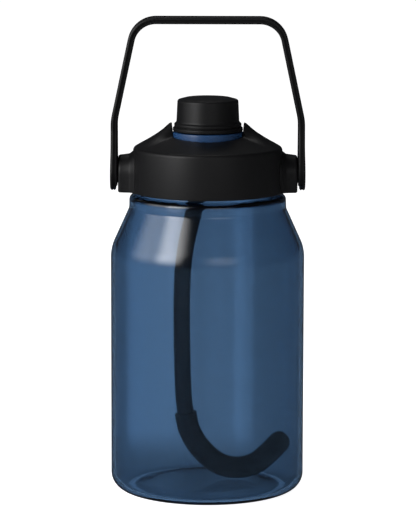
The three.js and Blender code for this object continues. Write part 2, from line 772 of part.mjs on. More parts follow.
const bail = new THREE.Group();
bail.add(piece("handle_bail", handle(), "blackPlastic"));

const straw = new THREE.Group();
straw.add(
  piece("straw_connector", strawConnector(), "innerPlastic"),
  piece("straw_tube", strawTube(), "straw"),
  piece("straw_sleeve", strawSleeve(), "straw"),
);

const lid = new THREE.Group();
lid.add(
  piece("lid_shell", lidShell(), "blackPlastic"),
  piece("lid_liner", lidLiner(), "innerPlastic"),
  piece("lid_gasket", lidGasket(), "silicone"),
  piece("spout", spout(), "spout"),
  piece("spout_gasket", spoutGasket(), "silicone"),
  piece("spout_lock_ring", spoutLockRing(), "innerPlastic"),
  cap,
  bail,
  straw,
);

const vent = piece("vent_valve", ventValve(), "silicone");
vent.position.set(VENT.x, VENT.y, 0);
lid.add(vent);

// The pins and washers are drawn along their own Z, which each side turns outwards.
for (const [side, turn] of [["right", Math.PI / 2], ["left", -Math.PI / 2]]) {
  const pin = piece(`pivot_pin_${side}`, pivotPin(), "innerPlastic");
  const washer = piece(`pivot_washer_${side}`, pivotWasher(), "silicone");
  for (const mesh of [pin, washer]) {
    mesh.rotation.y = turn;
    mesh.position.z = PIVOT_Z;
  }
  bail.add(pin);
  lid.add(washer);
}

const jug = new THREE.Group();
jug.add(piece("bottle_body", bottleBody(), "bottle"), lid);

export default jug;
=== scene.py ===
"""Looks of a large water jug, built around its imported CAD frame.

Outlines and lengths below are in millimetres and become metres when a mesh is made. A revolved outline is
a list of (radius, z) corners; a third number rounds that corner with a fillet of that radius.
"""

import math

import bmesh
import bpy
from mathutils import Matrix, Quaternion, Vector


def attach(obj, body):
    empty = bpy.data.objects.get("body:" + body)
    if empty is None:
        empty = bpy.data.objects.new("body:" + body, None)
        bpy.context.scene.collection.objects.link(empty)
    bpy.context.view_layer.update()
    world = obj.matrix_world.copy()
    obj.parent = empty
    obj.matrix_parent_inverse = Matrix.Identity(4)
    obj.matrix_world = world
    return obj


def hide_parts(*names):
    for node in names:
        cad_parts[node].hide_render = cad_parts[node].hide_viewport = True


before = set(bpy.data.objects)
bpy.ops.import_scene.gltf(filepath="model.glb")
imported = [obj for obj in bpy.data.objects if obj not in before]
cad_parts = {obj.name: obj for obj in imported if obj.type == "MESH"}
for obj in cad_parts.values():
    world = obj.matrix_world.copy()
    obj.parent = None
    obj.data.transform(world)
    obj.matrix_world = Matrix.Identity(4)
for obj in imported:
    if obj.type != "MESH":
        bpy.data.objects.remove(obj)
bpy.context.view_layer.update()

MM = 0.001
TURN = 2 * math.pi
SIDES = 192  # of the large round pieces
THREAD_RUN_IN = 0.15  # turns over which a thread rises at each of its ends

# ---- Mesh helpers --------------------------------------------------------------------------------------


def rounded(corners, steps=6):
    """The points of a closed outline, with fillets where a corner has a radius.

    A stretch of a longer outline starts and ends with corners that only give their neighbours a
    direction, and that its caller slices off again.
    """
    points = []
    for i, (r, z, *fillet) in enumerate(corners):
        if not fillet:
            points.append((r, z))
            continue
        radius = fillet[0]
        here = Vector((r, z))
        back = (Vector(corners[i - 1][:2]) - here).normalized()
        ahead = (Vector(corners[(i + 1) % len(corners)][:2]) - here).normalized()
        half = back.angle(ahead) / 2
        centre = here + (back + ahead).normalized() * radius / math.sin(half)
        reach = radius / math.tan(half)
        first = math.atan2(*(here + back * reach - centre).yx)
        last = math.atan2(*(here + ahead * reach - centre).yx)
        sweep = math.remainder(last - first, TURN)
        for step in range(steps + 1):
            angle = first + sweep * step / steps
            points.append((centre.x + radius * math.cos(angle), centre.y + radius * math.sin(angle)))
    return points


def arc(r, z, radius, from_degrees, to_degrees, steps):
    """Points of an arc round (r, z), both ends included."""
    sweep = to_degrees - from_degrees
    angles = [math.radians(from_degrees + sweep * i / steps) for i in range(steps + 1)]
    return [(r + radius * math.cos(a), z + radius * math.sin(a)) for a in angles]


def ladder(r, from_z, to_z, step=0.35):
    """Closely spaced points of a straight wall, for a thread to be raised on."""
    count = round(abs(to_z - from_z) / step)
    return [(r, from_z + (to_z - from_z) * i / count) for i in range(count + 1)]


def smooth(share):
    """Eases from 0 to 1."""
    share = min(1, max(0, share))
    return share * share * (3 - 2 * share)


def thread(root, crest, pitch, start, turns, half_width, crest_half):
    """Raises a helical ridge on the wall at radius root: gives a point's new radius."""

    def raised(r, z, angle):
        if abs(r - root) > 0.01:
            return r
        height = 0
        for whole in range(math.ceil(turns) + 1):
            turn = angle / TURN + whole
            if turn <= turns:
                away = abs(z - start - pitch * turn)
                grown = min(1, turn / THREAD_RUN_IN, (turns - turn) / THREAD_RUN_IN)
                height = max(height, grown * smooth((half_width - away) / (half_width - crest_half)))
        return root + (crest - root) * height

    return raised


def solid(rings, wrap, poles=(None, None)):
    """A mesh through equal closed rings of points; poles are single points that close its two ends."""
    made = bmesh.new()
    rows = [[made.verts.new(Vector(p) * MM) for p in ring] for ring in rings]
    size = len(rows[0])
    pairs = list(zip(rows, rows[1:])) + ([(rows[-1], rows[0])] if wrap else [])
    for here, there in pairs:
        for j in range(size):
            k = (j + 1) % size
            made.faces.new((here[j], here[k], there[k], there[j]))
    for row, pole in ((rows[0], poles[0]), (rows[-1], poles[1])):
        if pole:
            tip = made.verts.new(Vector(pole) * MM)
            for j in range(size):
                made.faces.new((row[j], row[(j + 1) % size], tip))
        elif not wrap:
            made.faces.new(row)
    bmesh.ops.remove_doubles(made, verts=made.verts, dist=1e-7)
    bmesh.ops.dissolve_degenerate(made, edges=made.edges, dist=1e-8)
    bmesh.ops.recalc_face_normals(made, faces=made.faces)
    return made


def revolved(outline, radius_at=None, sides=SIDES):
    """A solid of revolution. An outline that starts and ends on the axis is closed by poles."""
    on_axis = outline[0][0] == 0
    rings = []
    for r, z in outline[1:-1] if on_axis else outline:
        ring = []
        for j in range(sides):
            angle = TURN * j / sides
            out = radius_at(r, z, angle) if radius_at else r
            ring.append((out * math.cos(angle), out * math.sin(angle), z))
        rings.append(ring)
    if on_axis:
        return solid(rings, False, ((0, 0, outline[0][1]), (0, 0, outline[-1][1])))
    return solid(rings, True)


def along_x(made, z=0):
    """Turns a solid's Z axis to +X and lifts it to height z."""
    for vert in made.verts:
        x, y, height = vert.co
        vert.co = (height, y, -x + z * MM)
    return made


def on_side(made, side):
    """Mirrors a solid made for the right side when the left one is wanted."""
    if side < 0:
        for vert in made.verts:
            vert.co.x *= -1
        bmesh.ops.reverse_faces(made, faces=made.faces)
    return made


def placed(made, offset):
    """Moves a solid by an offset."""
    for vert in made.verts:
        vert.co += Vector(offset) * MM
    return made


def object_of(name, made):
    """Puts a solid into the scene as a named object."""
    mesh = bpy.data.meshes.new(name)
    made.to_mesh(mesh)
    made.free()
    piece = bpy.data.objects.new(name, mesh)
    bpy.context.scene.collection.objects.link(piece)
    return piece


def combined(base, *others, operation="UNION"):
    """Joins or cuts closed meshes and leaves the result in the first object."""
    for number, other in enumerate(others):
        tool = object_of(f"{base.name}_tool_{number}", other)
        change = base.modifiers.new("combine", "BOOLEAN")
        change.operation = operation
        change.solver = "EXACT"
        change.object = tool
        bpy.context.view_layer.update()
        result = bpy.data.meshes.new_from_object(
            base.evaluated_get(bpy.context.evaluated_depsgraph_get())
        )
        base.modifiers.clear()
        base.data = result
        bpy.data.objects.remove(tool)
    return base


def finished(piece, body, slot, material, *nodes, crease=32):
    """Shades a piece, gives it its material and ties it to the CAD."""
    piece.data.materials.clear()
    piece.data.materials.append(material)
    piece.data.polygons.foreach_set("use_smooth", [True] * len(piece.data.polygons))
    piece.data.set_sharp_from_angle(angle=math.radians(crease))
    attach(piece, body)
    if nodes:
        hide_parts(*nodes)
    return piece


# ---- Materials -----------------------------------------------------------------------------------------


def new_material(name):
    """A material with its node tree and its main shader."""
    material = bpy.data.materials.new(name)
    material.use_nodes = True
    tree = material.node_tree
    return material, tree, tree.nodes["Principled BSDF"]


def grain(tree, shader, scale, depth, detail=2.0, distance=0.0001):
    """Fine moulded texture, as bump, from a noise of so many cells per metre."""
    position = tree.nodes.new("ShaderNodeTexCoord")
    noise = tree.nodes.new("ShaderNodeTexNoise")
    noise.inputs["Scale"].default_value = scale
    noise.inputs["Detail"].default_value = detail
    bump = tree.nodes.new("ShaderNodeBump")
    bump.inputs["Strength"].default_value = depth
    bump.inputs["Distance"].default_value = distance
    tree.links.new(position.outputs["Object"], noise.inputs["Vector"])
    tree.links.new(noise.outputs["Fac"], bump.inputs["Height"])
    tree.links.new(bump.outputs["Normal"], shader.inputs["Normal"])
    return noise


def plastic(name, color, roughness, specular=0.5, scale=2600, depth=0.15, spread=0.06):
    """Moulded plastic: a fine grain in bump, roughness and colour."""
    material, tree, shader = new_material(name)
    shader.inputs["Specular IOR Level"].default_value = specular
    noise = grain(tree, shader, scale, depth)
    rough = tree.nodes.new("ShaderNodeMapRange")
    rough.inputs["To Min"].default_value = roughness - spread
    rough.inputs["To Max"].default_value = roughness + spread
    tree.links.new(noise.outputs["Fac"], rough.inputs["Value"])
    tree.links.new(rough.outputs["Result"], shader.inputs["Roughness"])
    tint = tree.nodes.new("ShaderNodeValToRGB")
    tint.color_ramp.elements[0].position = 0.3
    tint.color_ramp.elements[1].position = 0.7
    tint.color_ramp.elements[0].color = (*[c * 0.85 for c in color], 1)
    tint.color_ramp.elements[1].color = (*[c * 1.15 for c in color], 1)
    tree.links.new(noise.outputs["Fac"], tint.inputs["Fac"])
    tree.links.new(tint.outputs["Color"], shader.inputs["Base Color"])
    return material


PLASTIC_IOR = 1.5
THIN_WALL_IOR = 1.12  # low, so that what is seen through the wall is bent only a little


def clear_plastic(name, tint, absorption, density, roughness):
    """Tinted see-through plastic: a coat for its gloss, a tint at its faces and absorption inside it."""
    material, tree, shader = new_material(name)
    shader.inputs["Base Color"].default_value = (*tint, 1)
    shader.inputs["Roughness"].default_value = roughness
    shader.inputs["IOR"].default_value = THIN_WALL_IOR
    shader.inputs["Coat Weight"].default_value = 1
    shader.inputs["Coat IOR"].default_value = PLASTIC_IOR
    shader.inputs["Coat Roughness"].default_value = 0.14
    shader.inputs["Transmission Weight"].default_value = 1
    grain(tree, shader, scale=60, depth=0.12, detail=1.0, distance=0.001)
    volume = tree.nodes.new("ShaderNodeVolumeAbsorption")
    volume.inputs["Color"].default_value = (*absorption, 1)
    volume.inputs["Density"].default_value = density
    path = tree.nodes.new("ShaderNodeLightPath")
    through = tree.nodes.new("ShaderNodeBsdfTransparent")
    through.inputs["Color"].default_value = (*[c**0.5 for c in tint], 1)
    mix = tree.nodes.new("ShaderNodeMixShader")
    output = tree.nodes["Material Output"]
    tree.links.new(path.outputs["Is Shadow Ray"], mix.inputs["Fac"])
    tree.links.new(shader.outputs["BSDF"], mix.inputs[1])
    tree.links.new(through.outputs["BSDF"], mix.inputs[2])
    tree.links.new(mix.outputs["Shader"], output.inputs["Surface"])
    tree.links.new(volume.outputs["Volume"], output.inputs["Volume"])
    return material


BLACK = plastic("black_plastic", (0.006, 0.006, 0.0065), 0.42, specular=0.22)
INNER = plastic("inner_plastic", (0.010, 0.011, 0.012), 0.45)
BLUE = plastic("spout_plastic", (0.015, 0.052, 0.14), 0.3, scale=1500)
SILICONE = plastic("silicone", (0.016, 0.017, 0.019), 0.65, scale=900)
STRAW = plastic("straw_plastic", (0.010, 0.013, 0.018), 0.5, scale=900)
SLEEVE = plastic("sleeve_silicone", (0.012, 0.014, 0.018), 0.7, scale=900)
# Each metre of the wall lets exp(-density * (1 - absorption)) of the light through.
BOTTLE = clear_plastic(
    "bottle_plastic",
    tint=(0.212, 0.293, 0.382),
    absorption=(0.14, 0.34, 0.51),
    density=150,
    roughness=0.02,
)

# ---- Bottle --------------------------------------------------------------------------------------------

BODY_R, WALL, SHOULDER_Z, SHOULDER_R = 62.7, 2.6, 153.2, 26
FOOT_R, FOOT_CORNER = 51.9, 10.8
CONE_DEGREES = 23  # the sloping shoulder's angle at the end of its curve
CONE = math.radians(CONE_DEGREES)
CONE_R = BODY_R - SHOULDER_R * (1 - math.cos(CONE))
CONE_Z = SHOULDER_Z + SHOULDER_R * math.sin(CONE)
COLLAR_R, COLLAR_FOOT_Z, COLLAR_TOP_Z = 50.6, 185.2, 193.6
NECK_R, NECK_BORE_R, NECK_TOP_Z = 42.9, 40.5, 216.8
# The base rises from its foot ring to the middle, outside and in, and is about 2 mm thick all over.
DISH_R, DISH_Z, DISH_SAG = 36, 3.4, 0.6
FLOOR_R, FLOOR_Z, FLOOR_FOOT_Z, FLOOR_SAG = 38, 5.4, 2.5, 0.8
INNER_CORNER = 9.5
# Threads of the neck and the spout: pitch, height of the ridge, half its width at root and crest.
NECK_PITCH, NECK_RIDGE, NECK_WIDTHS = 4.5, 1.3, (1.4, 0.5)
SPOUT_PITCH, SPOUT_RIDGE, SPOUT_WIDTHS = 3.6, 1.1, (1.1, 0.4)
CLEARANCE = 0.4

inner_r = BODY_R - WALL
inner_foot_r = inner_r - INNER_CORNER
collar_bore_r = COLLAR_R - WALL
collar_ceiling_z = COLLAR_TOP_Z - WALL
under_shoulder_z = SHOULDER_Z - 0.6
thread_top_z = NECK_TOP_Z - 1.6
foot_ring = [
    (0, DISH_Z),
    (DISH_R, DISH_Z - DISH_SAG, 14),
    (45, 0.2, 3),
    (47.5, 0, 1.5),
    (FOOT_R, 0),
    (FOOT_R, 60),
    (0, 60),
]
bottle_outline = [
    (0, DISH_Z),
    *[(r, DISH_Z - DISH_SAG * (r / DISH_R) ** 2) for r in range(6, 36, 6)],
    *rounded(foot_ring, 5)[1:-3],
    *arc(FOOT_R, FOOT_CORNER, FOOT_CORNER, -90, 0, 16),
    *arc(BODY_R - SHOULDER_R, SHOULDER_Z, SHOULDER_R, 0, CONE_DEGREES, 10),
    *rounded(
        [
            (CONE_R, CONE_Z),
            (COLLAR_R + 0.25, COLLAR_FOOT_Z - 0.2, 5),
            (COLLAR_R, COLLAR_TOP_Z, 3),
            (NECK_R, COLLAR_TOP_Z + 0.1, 0.9),
            (NECK_R, NECK_TOP_Z),
        ]
    )[1:-1],
    *ladder(NECK_R, 196, thread_top_z),
    *rounded(
        [
            (NECK_R, thread_top_z),
            (NECK_R, NECK_TOP_Z, 0.6),
            (NECK_BORE_R, NECK_TOP_Z, 0.6),
            (NECK_BORE_R, collar_ceiling_z, 1.8),
            (collar_bore_r, collar_ceiling_z - 0.2, 1.6),
            (collar_bore_r, COLLAR_FOOT_Z, 4),
            (CONE_R - WALL, CONE_Z - 0.6),
        ]
    )[1:-1],
    *arc(inner_r - (SHOULDER_R - WALL), under_shoulder_z, SHOULDER_R - WALL, CONE_DEGREES, 0, 10),
    *arc(inner_foot_r, FLOOR_FOOT_Z + INNER_CORNER, INNER_CORNER, 0, -90, 12),
    *rounded(
        [
            (inner_foot_r, FLOOR_FOOT_Z),
            (46.5, FLOOR_FOOT_Z, 2),
            (FLOOR_R, FLOOR_Z - FLOOR_SAG, 8),
            (0, FLOOR_Z),
        ],
        5,
    )[1:-1],
    *[(r, FLOOR_Z - FLOOR_SAG * (r / FLOOR_R) ** 2) for r in range(30, 0, -6)],
    (0, FLOOR_Z),
]
neck_thread = thread(NECK_R, NECK_R + NECK_RIDGE, NECK_PITCH, 200.5, 2, *NECK_WIDTHS)
bottle = object_of("bottle", revolved(bottle_outline, neck_thread, sides=256))
finished(bottle, "bottle", "bottle", BOTTLE, "bottle_body", crease=50)

# ---- Lid -----------------------------------------------------------------------------------------------

SKIRT_FOOT_Z, SKIRT_FOOT_R, SKIRT_TOP_R = 195.8, 49.5, 48.15
SHELL_WALL, SHELL_BORE_R = 2.2, 46.4
MOUTH_R, LEDGE_R, LEDGE_Z, LEDGE_THICKNESS = 23.15, 20.7, 228.3, 2.1
CROWN_R, CROWN_EDGE_R, CROWN_SLOPE = 46.1, 46, 1.5  # the top's rim, and a length to read its slope from
MOUTH_LIP = 1.45
PIVOT_Z, EAR_X, EAR_R, EAR_FOOT_Z = 207.8, 57.8, 11.7, 196
EAR_ROOT_X, EAR_BEND_X, EAR_FLARE, EAR_EDGE = 44, 47.3, 3.4, 1.7
POCKET_ROOT_X, EAR_END_WALL = 43.4, 3.8
PIN_BORE_R, WASHER_SEAT_R, WASHER_SEAT_DEPTH = 3.3, 8.1, 1.2
# The top's height from the mouth out to the rim, on the ridges at the sides and at the front.
RIDGE_LINE = [
    (23.1, 241.3),
    (24.3, 240.3),
    (25.8, 239.1),
    (28.7, 236.5),
    (32.1, 233.9),
    (36.1, 231.3),
    (40.4, 228.7),
    (43.4, 227),
    (CROWN_R, 225.3),
    (48.2, 223.9),
]
FRONT_LINE = [(MOUTH_R, 230.5), (28, 229.1), (36, 227.2), (CROWN_R, 225), (48.2, 224.5)]
RIM_RISE = 1.6  # of the mouth's rim, from the front to the sides
RIDGE_HALF_WIDTH, RIDGE_SPREAD = 8, 0.95


def on_pivot(outline, sides, side):
    """A solid turned from an outline of (radius, x) corners round one of the handle's pivots."""
    return on_side(along_x(revolved(outline, sides=sides), PIVOT_Z), side)


def height_on(line, r):
    """Height at a radius on a smooth line through (radius, z) stops."""
    r = min(max(r, line[0][0]), line[-1][0])
    i = next(i for i in range(1, len(line)) if line[i][0] >= r)
    (r0, z0), (r1, z1) = line[i - 1], line[i]
    before, after = line[max(0, i - 2)], line[min(len(line) - 1, i + 1)]
    slope0 = (z1 - before[1]) / (r1 - before[0])
    slope1 = (after[1] - z0) / (after[0] - r0)
    t, span = (r - r0) / (r1 - r0), r1 - r0
    return (
        z0 * (2 * t**3 - 3 * t**2 + 1)
        + slope0 * span * (t**3 - 2 * t**2 + t)
        + z1 * (3 * t**2 - 2 * t**3)
        + slope1 * span * (t**3 - t**2)
    )


def crown_height(r, angle):
    """Height of the lid's top: a shallow cone with a ridge on each side that widens outwards."""
    along, aside = abs(r * math.cos(angle)), abs(r * math.sin(angle))
    half_width = max(0.1, RIDGE_HALF_WIDTH + RIDGE_SPREAD * (along - MOUTH_R))
    share = min(1, aside / half_width)
    inwards = min(1, max(0, (CROWN_R - r) / (CROWN_R - MOUTH_R)))
    front = height_on(FRONT_LINE, r) + RIM_RISE * math.cos(angle) ** 2 * inwards
    return front + (height_on(RIDGE_LINE, r) - front) * (1 + math.cos(math.pi * share)) / 2


def lid_section(angle):
    """The lid's section at one angle."""
    edge_z = crown_height(CROWN_R, angle)
    fall = (crown_height(CROWN_R - CROWN_SLOPE, angle) - edge_z) / CROWN_SLOPE
    corner_z = edge_z - fall * (SKIRT_TOP_R - CROWN_R)
    lip_r = MOUTH_R + MOUTH_LIP
    top_radii = [CROWN_EDGE_R - i * (CROWN_EDGE_R - lip_r) / 26 for i in range(27)]
    rim_z = crown_height(MOUTH_R + 0.4, angle) - 0.15
    inside_r, outside_r = 25.6, 44.2
    under_radii = [inside_r + i * (outside_r - inside_r) / 12 for i in range(13)]
    return [
        *rounded(
            [
                (SHELL_BORE_R, 221),
                (SHELL_BORE_R, SKIRT_FOOT_Z, 0.4),
                (SKIRT_FOOT_R, SKIRT_FOOT_Z, 0.6),
                (SKIRT_TOP_R, corner_z, 2.6),
                (CROWN_EDGE_R, crown_height(CROWN_EDGE_R, angle)),
            ]
        )[1:-1],
        *[(r, crown_height(r, angle)) for r in top_radii],
        *rounded(
            [
                (lip_r, crown_height(lip_r, angle)),
                (MOUTH_R, rim_z, 0.6),
                (MOUTH_R, LEDGE_Z, 0.4),
                (LEDGE_R, LEDGE_Z, 0.3),
                (LEDGE_R, LEDGE_Z - LEDGE_THICKNESS, 0.3),
                (MOUTH_R + 2, LEDGE_Z - LEDGE_THICKNESS),
            ],
            4,
        )[1:],
        *[(r, crown_height(r, angle) - SHELL_WALL) for r in under_radii],
        (SHELL_BORE_R, edge_z - SHELL_WALL - 0.6),
    ]


def ear_loop(half_width, foot_z, x, edge, count=28):
    """One ring of an ear: straight sides and a round top, its two foot corners rounded by edge."""
    corners = [
        (half_width, PIVOT_Z),
        (half_width, foot_z, edge),
        (-half_width, foot_z, edge),
        (-half_width, PIVOT_Z),
    ]
    foot = rounded(corners, 4)[1:-1]
    side_z = foot_z + edge
    near = [(-half_width, side_z + (PIVOT_Z - side_z) * i / 6) for i in range(1, 6)]
    top = arc(0, PIVOT_Z, half_width, 180, 0, count)
    far = [(-y, z) for y, z in reversed(near)]
    return [(x, y, z) for y, z in [*foot, *near, *top, *far]]


def ear(side):
    """Solid ear: flared where it leaves the skirt, straight beyond, with a rounded outer edge."""
    profile = [(EAR_ROOT_X, EAR_FLARE), (EAR_BEND_X - 0.1, EAR_FLARE)]
    waist = 0.6
    for step in range(1, 11):
        across = math.sin(math.pi / 2 * step / 10)
        grow = waist + (EAR_FLARE - waist) * (1 - across) ** 1.2
        profile.append((EAR_BEND_X + EAR_FLARE * across, grow))
    for step in range(9):
        angle = math.pi / 2 * step / 8
        x = EAR_X - EAR_EDGE + EAR_EDGE * math.sin(angle)
        profile.append((x, EAR_EDGE * (math.cos(angle) - 1) - 0.1))
    rings = []
    for x, grow in profile:
        foot_z = EAR_FOOT_Z + 0.5 * max(0, -grow)
        rings.append([(side * x, y, z) for x, y, z in ear_loop(EAR_R + grow, foot_z, x, 0.5)])
    return solid(rings, False)


def ear_cuts(side):
    """The hollow behind an ear's face, and the stepped bore for its washer and pin."""
    pocket = []
    for x in (POCKET_ROOT_X, EAR_X - EAR_END_WALL):
        loop = ear_loop(EAR_R - SHELL_WALL, EAR_FOOT_Z - 2, x, 0.4)
        pocket.append([(side * x, y, z) for x, y, z in loop])
    inside_x, seat_x, outside_x = 50, EAR_X - WASHER_SEAT_DEPTH, EAR_X + 1
    bore = [
        (0, inside_x),
        (PIN_BORE_R, inside_x),
        (PIN_BORE_R, seat_x),
        (WASHER_SEAT_R, seat_x),
        (WASHER_SEAT_R, outside_x),
        (0, outside_x),
    ]
    return [solid(pocket, False), on_pivot(bore, 48, side)]


def lid_skin():
    """The lid without its ears: a ring round the axis for each point of its section."""
    count = 360
    sections = [lid_section(TURN * i / count) for i in range(count)]
    rings = []
    for k in range(len(sections[0])):
        ring = []
        for i, section in enumerate(sections):
            r, z = section[k]
            angle = TURN * i / count
            ring.append((r * math.cos(angle), r * math.sin(angle), z))
        rings.append(ring)
    return solid(rings, True)


lid = object_of("lid", lid_skin())
combined(lid, ear(1), ear(-1))
combined(lid, *ear_cuts(1), *ear_cuts(-1), operation="DIFFERENCE")
finished(lid, "lid", "black_plastic", BLACK, "lid_shell", crease=38)

# The liner that screws on the neck, its gasket and its vent.
CEILING_Z, LINER_TOP_Z, LINER_FOOT_Z, LINER_R = 218.8, 220.6, 197, 46
VENT_PLACE = (-21.2, 21.2, 0)
VENT_BORE_R, VENT_FLAP_R, VENT_STEM_R = 1.8, 4.2, 1.5
liner_bore = NECK_R + NECK_RIDGE + CLEARANCE
liner_outline = [
    *rounded(
        [
            (liner_bore, LINER_FOOT_Z + 2),
            (liner_bore, LINER_FOOT_Z, 0.4),
            (LINER_R, LINER_FOOT_Z, 0.4),
            (LINER_R, LINER_TOP_Z, 0.8),
            (LEDGE_R, LINER_TOP_Z, 0.3),
            (LEDGE_R, CEILING_Z, 0.3),
            (liner_bore, CEILING_Z, 0.5),
            (liner_bore, 217),
        ]
    )[1:-1],
    *ladder(liner_bore, 216.5, 199.5),
]
liner_thread = thread(liner_bore, NECK_R + CLEARANCE, NECK_PITCH, 202.75, 1.5, *NECK_WIDTHS)
liner = object_of("lid_cup", revolved(liner_outline, liner_thread))
vent_bore = revolved([(0, 217), (VENT_BORE_R, 217), (VENT_BORE_R, 222), (0, 222)], sides=32)
combined(liner, placed(vent_bore, VENT_PLACE), operation="DIFFERENCE")
finished(liner, "lid", "inner_plastic", INNER, "lid_liner")


def ring_piece(name, body, slot, material, inner, outer, foot_z, top_z, fillet, *nodes):
    """A flat ring with rounded edges, from an inner to an outer radius."""
    corners = [(inner, foot_z), (outer, foot_z), (outer, top_z), (inner, top_z)]
    made = revolved(rounded([(*corner, fillet) for corner in corners], 4), sides=128)
    return finished(object_of(name, made), body, slot, material, *nodes)


ring_piece("lid_seal_ring", "lid_seal", "silicone", SILICONE, 40.1, 44.1, 217.1, 218.5, 0.4, "lid_gasket")
ring_piece("spout_seal_ring", "lid", "silicone", SILICONE, 20.7, 25, 216.5, 218.5, 0.5, "spout_gasket")

vent_outline = rounded(
    [
        (0, CEILING_Z - 1.6),
        (1.8, CEILING_Z - 1.5, 1),
        (VENT_FLAP_R, CEILING_Z - 0.9, 0.25),
        (VENT_FLAP_R, CEILING_Z - 0.3, 0.1),
        (VENT_STEM_R, CEILING_Z - 0.3, 0.1),
        (VENT_STEM_R, LINER_TOP_Z + 0.3, 0.1),
        (2.3, LINER_TOP_Z + 0.6, 0.2),
        (1, LINER_TOP_Z + 2, 0.7),
        (0, LINER_TOP_Z + 2),
    ],
    4,
)
vent = object_of("vent", placed(revolved(vent_outline, sides=48), VENT_PLACE))
finished(vent, "lid", "silicone", SILICONE, "vent_valve")

# ---- Spout ---------------------------------------------------------------------------------------------

SPOUT_TUBE_R, SPOUT_BORE_R, SPOUT_TOP_Z = 14.8, 12.3, 250.1
BARB_BORE_R, SPOUT_FLOOR_Z, SPOUT_CEILING_Z = 4.6, 224.4, 221.8
FLANGE_R, FLANGE_FOOT_Z, FLANGE_TOP_Z = 22.8, LEDGE_Z + 0.3, 234.5
BARREL_BORE_R, BARREL_R, BARREL_FOOT_Z, BARREL_CEILING_Z = 18, 20.4, 212.8, 231.8
spout_outline = [
    *rounded(
        [
            (BARB_BORE_R, SPOUT_CEILING_Z, 0.3),
            (SPOUT_TUBE_R, SPOUT_CEILING_Z, 0.3),
            (SPOUT_TUBE_R, BARREL_CEILING_Z, 0.6),
            (BARREL_BORE_R, BARREL_CEILING_Z, 0.6),
            (BARREL_BORE_R, BARREL_FOOT_Z, 0.4),
            (BARREL_R, BARREL_FOOT_Z, 0.4),
            (BARREL_R, FLANGE_FOOT_Z, 0.3),
            (FLANGE_R, FLANGE_FOOT_Z, 0.3),
            (FLANGE_R, FLANGE_TOP_Z, 0.7),
            (SPOUT_TUBE_R, FLANGE_TOP_Z, 0.6),
            (SPOUT_TUBE_R, 240),
        ]
    )[:-1],
    *ladder(SPOUT_TUBE_R, 237.5, 248.9),
    *rounded(
        [
            (SPOUT_TUBE_R, 249),
            (SPOUT_TUBE_R, SPOUT_TOP_Z, 0.9),
            (SPOUT_BORE_R, SPOUT_TOP_Z, 0.9),
            (SPOUT_BORE_R, SPOUT_FLOOR_Z, 1.2),
            (BARB_BORE_R, SPOUT_FLOOR_Z, 0.3),
        ]
    )[1:],
]
spout_thread_r = SPOUT_TUBE_R + SPOUT_RIDGE
spout_thread = thread(SPOUT_TUBE_R, spout_thread_r, SPOUT_PITCH, 240.4, 1.75, *SPOUT_WIDTHS)
spout = object_of("drinking_spout", revolved(spout_outline, spout_thread))
finished(spout, "lid", "spout", BLUE, "spout")

LOCK_BORE_R, LOCK_R, LOCK_FOOT_Z, LOCK_TOP_Z, NOTCHES = 20.7, 26, 213.2, 216.2, 6
NOTCH_SIZE = (3.2, 4, 6)


def notch(angle):
    """A block across the lock ring's rim, for a spanner's tooth."""
    block = bmesh.new()
    bmesh.ops.create_cube(block, size=MM)
    for vert in block.verts:
        depth, width, height = (length * size for length, size in zip(vert.co, NOTCH_SIZE))
        out = depth + LOCK_R * MM
        vert.co = (
            out * math.cos(angle) - width * math.sin(angle),
            out * math.sin(angle) + width * math.cos(angle),
            height + (LOCK_FOOT_Z + LOCK_TOP_Z) / 2 * MM,
        )
    return block


lock_corners = [
    (LOCK_BORE_R, LOCK_FOOT_Z, 0.3),
    (LOCK_R, LOCK_FOOT_Z, 0.3),
    (LOCK_R, LOCK_TOP_Z, 0.3),
    (LOCK_BORE_R, LOCK_TOP_Z, 0.3),
]
lock = object_of("lock_ring", revolved(rounded(lock_corners, 3), sides=96))
combined(lock, *[notch(TURN * i / NOTCHES) for i in range(NOTCHES)], operation="DIFFERENCE")
finished(lock, "lid", "inner_plastic", INNER, "spout_lock_ring")

# ---- Cap -----------------------------------------------------------------------------------------------

CAP_TOP_Z, CAP_BORE_R, CAP_CEILING_Z = 257.2, 17.8, 254.2
CAP_FOOT_Z, CAP_FOOT_R, CAP_NECK_R = 235.1, 22.6, 21.1
CAP_DOME, CAP_DOME_R = 1.2, 18
CUP_CEILING_Z, CUP_TOP_Z, CUP_FOOT_Z, CUP_R = 252.2, 253.9, 238.6, 17.5
# Foot flange, a fine groove, a band, the straight wall and the domed top.
cap_outline = [
    (0, CAP_CEILING_Z),
    *rounded(
        [
            (0, CAP_CEILING_Z),
            (CAP_BORE_R, CAP_CEILING_Z, 0.8),
            (CAP_BORE_R, CAP_FOOT_Z, 0.3),
            (CAP_FOOT_R, CAP_FOOT_Z, 0.5),
            (CAP_FOOT_R, 237.4, 0.6),
            (CAP_NECK_R, 237.5, 0.25),
            (CAP_NECK_R, 237.9, 0.15),
            (21.75, 238.2, 0.4),
            (21.7, 239.9, 0.5),
            (20.35, 240.6, 2.2),
            (19.65, 255.2, 1.5),
            (14, 256.3),
        ]
    )[1:-1],
    *[(r, CAP_TOP_Z - CAP_DOME * (r / CAP_DOME_R) ** 2) for r in range(15, 0, -3)],
    (0, CAP_TOP_Z),
]
cap = object_of("cap", revolved(cap_outline))
finished(cap, "cap", "black_plastic", BLACK, "cap_shell")

